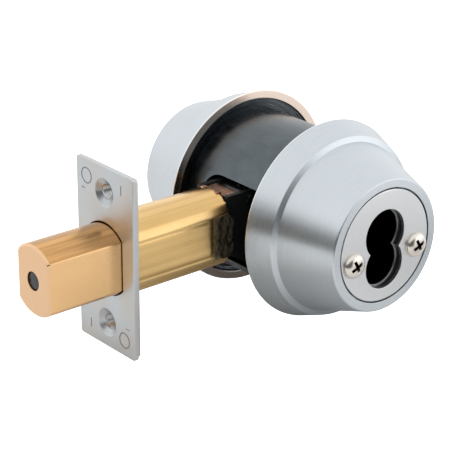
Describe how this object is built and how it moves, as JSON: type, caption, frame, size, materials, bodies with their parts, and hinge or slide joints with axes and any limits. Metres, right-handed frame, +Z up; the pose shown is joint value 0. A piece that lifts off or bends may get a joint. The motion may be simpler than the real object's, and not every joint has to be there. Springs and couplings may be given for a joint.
{
  "type": "deadbolt door lock",
  "caption": "Double-cylinder deadbolt with tapered free-turning collars, figure-eight core sockets, through-door chassis and a throwing latch bolt.",
  "frame": {"origin": "where the axis of the door's cross bore meets the middle of the door's thickness", "axes": "+X away from the door's edge, so the bolt throws towards -X; +Y through the door to the outside; +Z up"},
  "size_m": [0.1271, 0.0913, 0.0634],
  "materials": {
    "faceplate_steel": "brushed stainless steel",
    "case_brass": "yellow brass, drawn and lightly polished",
    "black_steel": "black oxide on steel",
    "zinc_steel": "zinc plated steel",
    "bolt_brass": "bronze brass, fine brushing along its length",
    "hard_steel": "hardened steel, dark and plain",
    "spring_steel": "spring steel",
    "throw_brass": "plain brass",
    "chassis_black": "satin black finish",
    "housing_black": "satin black finish",
    "face_satin": "smooth satin chrome",
    "satin_chrome": "satin chrome, fine turning marks round its axis",
    "screw_nickel": "bright nickel"
  },
  "bodies": {
    "root": {"faceplate": "faceplate_steel", "case_flange": "faceplate_steel", "case_shell": "case_brass", "inside_cheek_plate": "black_steel", "outside_cheek_plate": "black_steel", "cheek_rivets": "zinc_steel", "detent_spring": "spring_steel", "chassis_tube": "chassis_black", "inside_base_flange": "housing_black", "outside_base_flange": "housing_black", "inside_core_base": "housing_black", "outside_core_base": "housing_black", "inside_core_barrel": "housing_black", "outside_core_barrel": "housing_black", "inside_face_plate": "face_satin", "outside_face_plate": "face_satin", "outside_face_studs": "zinc_steel", "mounting_screws": "screw_nickel"},
    "bolt": {"bolt": "bolt_brass", "hardened_pin": "hard_steel", "inside_tail_plate": "zinc_steel", "outside_tail_plate": "zinc_steel", "tail_pin": "zinc_steel"},
    "drive": {"drive_hub": "zinc_steel", "drive_pin": "hard_steel", "hub_clips": "spring_steel", "tailpiece": "zinc_steel", "inside_throw_member": "throw_brass", "outside_throw_member": "throw_brass", "throw_member_clips": "spring_steel"},
    "inside_collar": {"inside_collar": "satin_chrome"},
    "outside_collar": {"outside_collar": "satin_chrome"}
  },
  "joints": [
    {"name": "bolt_slide", "type": "slide", "parent": "root", "child": "bolt", "axis": [1, 0, 0], "range_m": [0, 0.0254]},
    {"name": "drive_turn", "type": "hinge", "parent": "root", "child": "drive", "pos_m": [0, 0, -0.00635], "axis": [0, 1, 0], "range_deg": [0, 100.7]},
    {"name": "inside_collar_spin", "type": "hinge", "parent": "root", "child": "inside_collar", "pos_m": [0, -0.03, 0], "axis": [0, 1, 0], "continuous": true},
    {"name": "outside_collar_spin", "type": "hinge", "parent": "root", "child": "outside_collar", "pos_m": [0, 0.03, 0], "axis": [0, 1, 0], "continuous": true}
  ],
  "couplings": [
    {"joint": "drive_turn", "follows": "bolt_slide", "rad_per_m": 69.165}
  ]
}
